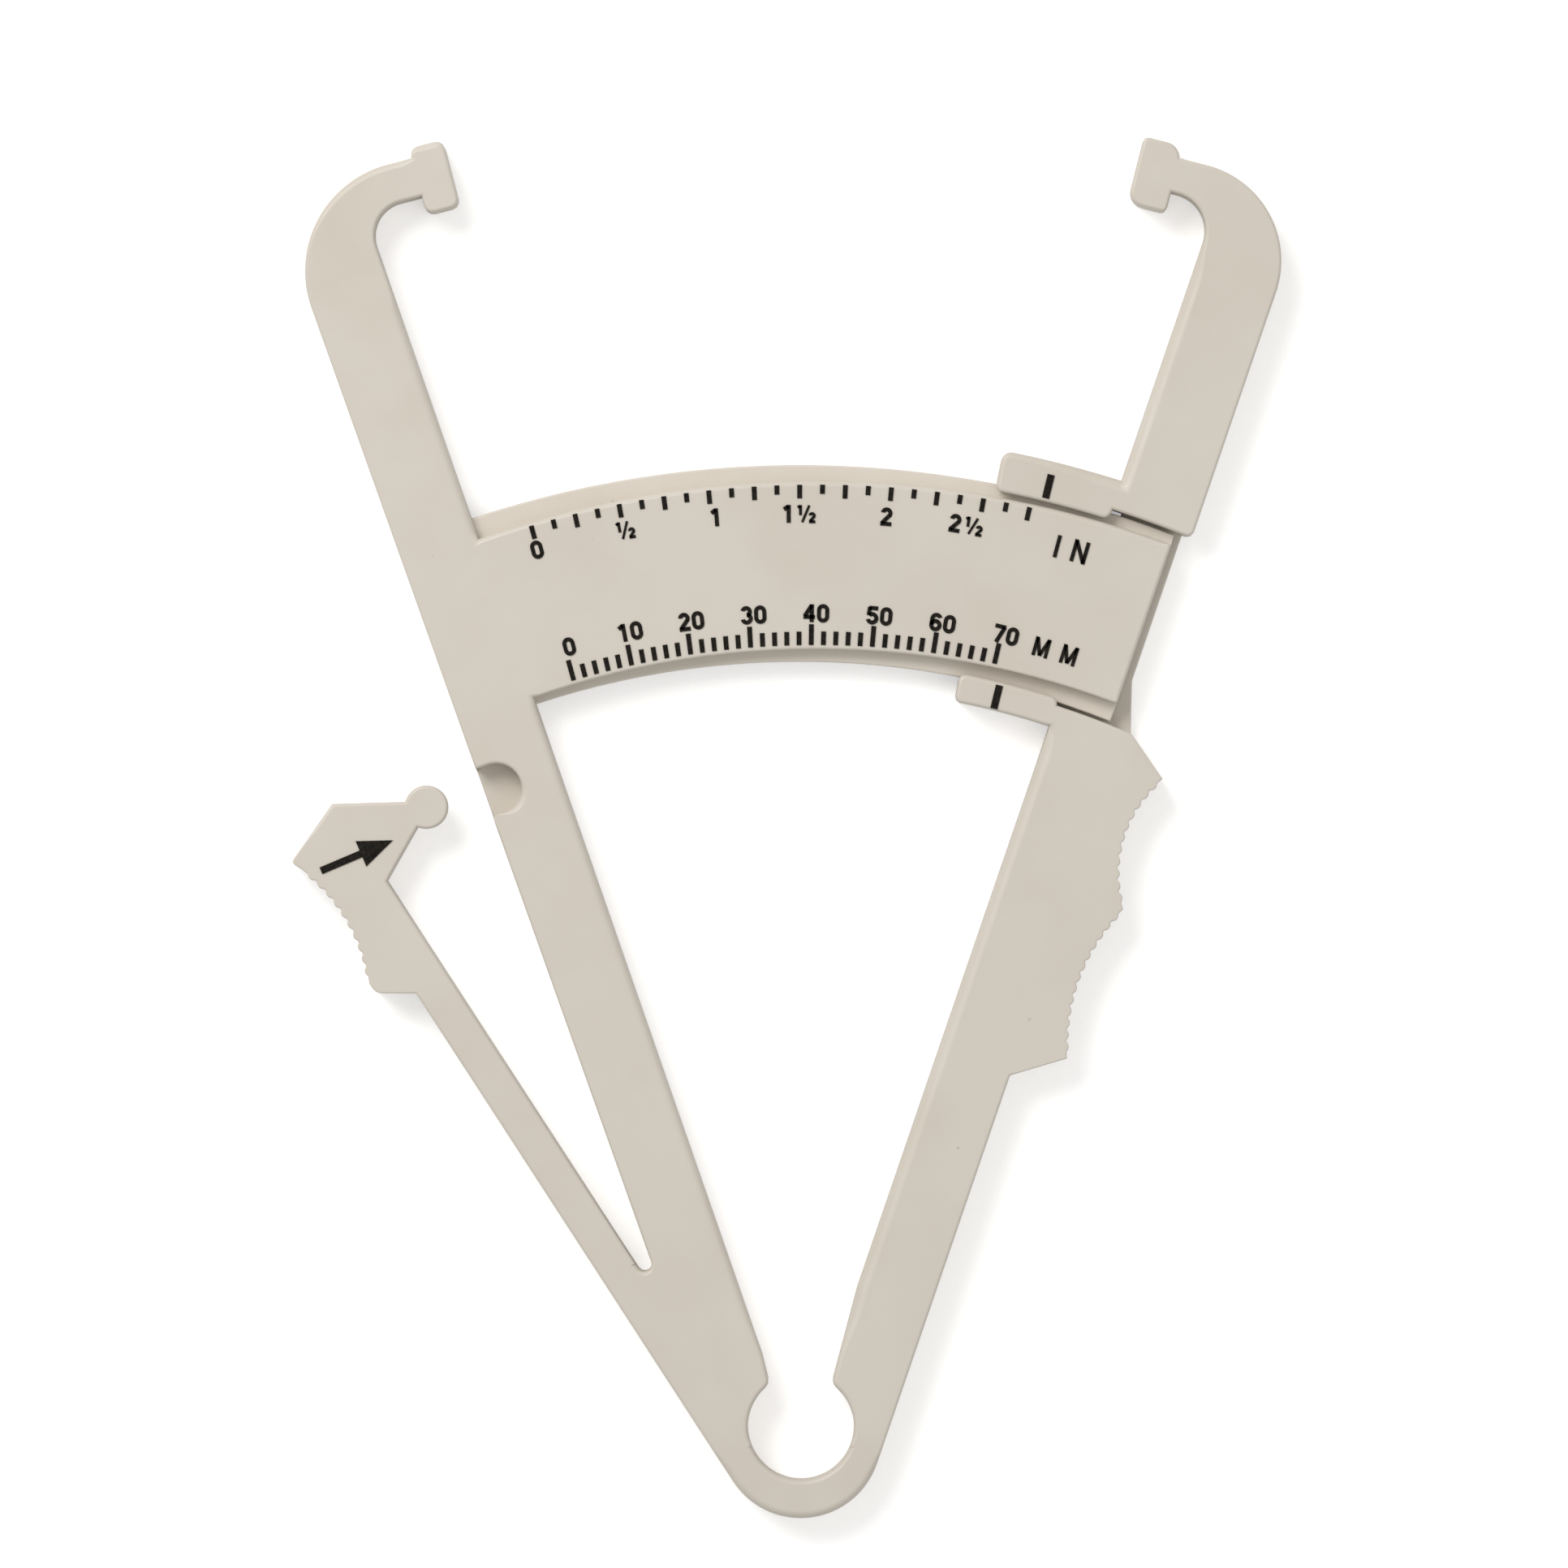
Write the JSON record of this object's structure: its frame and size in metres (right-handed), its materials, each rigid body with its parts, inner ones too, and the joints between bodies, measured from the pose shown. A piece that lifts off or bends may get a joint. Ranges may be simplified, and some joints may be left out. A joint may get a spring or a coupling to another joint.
{
  "type": "skinfold caliper",
  "caption": "One-hand skinfold caliper: two sprung arms with hooked jaws, a curved scale with pointer tabs, a serrated finger grip and a force-limiting thumb lever.",
  "frame": {"origin": "middle of the spring bow, the point the two arms turn about, at the back face", "axes": "lying on its back: +X to the right arm, +Y along the arms from the bow to the jaws, +Z towards the reader of the scale"},
  "size_m": [0.1024, 0.143, 0.0051],
  "materials": {
    "ivory": "satin moulded ivory plastic",
    "ink": "matt printed ink"
  },
  "bodies": {
    "fixed_arm": {"left_hinge_root": "ivory", "left_arm": "ivory", "left_jaw_hook": "ivory", "left_jaw_pad": "ivory", "scale_rail": "ivory", "scale_plate": "ivory", "inch_graduations": "ink", "mm_graduations": "ink", "hinge_bow": "ivory"},
    "moving_arm": {"right_hinge_root": "ivory", "handle": "ivory", "finger_grip": "ivory", "scale_bridge": "ivory", "right_jaw_arm": "ivory", "right_jaw_hook": "ivory", "right_jaw_pad": "ivory", "inch_pointer_tab": "ivory", "mm_pointer_tab": "ivory", "inch_pointer_mark": "ink", "mm_pointer_mark": "ink"},
    "lever": {"lever_flexure": "ivory", "lever_beam": "ivory", "thumb_rest": "ivory", "indicator_ball": "ivory", "force_arrow": "ink"}
  },
  "joints": [
    {"name": "arm_hinge", "type": "hinge", "parent": "fixed_arm", "child": "moving_arm", "pos_m": [0, 0, 0], "axis": [0, 0, 1], "range_deg": [-1.5, 28.6], "stiffness_Nm_per_rad": 0.25, "deforming": ["hinge_bow"]},
    {"name": "lever_flex", "type": "hinge", "parent": "fixed_arm", "child": "lever", "pos_m": [-0.02418, 0.03199, 0], "axis": [0, 0, 1], "range_deg": [-10.2, 0], "stiffness_Nm_per_rad": 0.2, "deforming": ["lever_flexure"]}
  ]
}
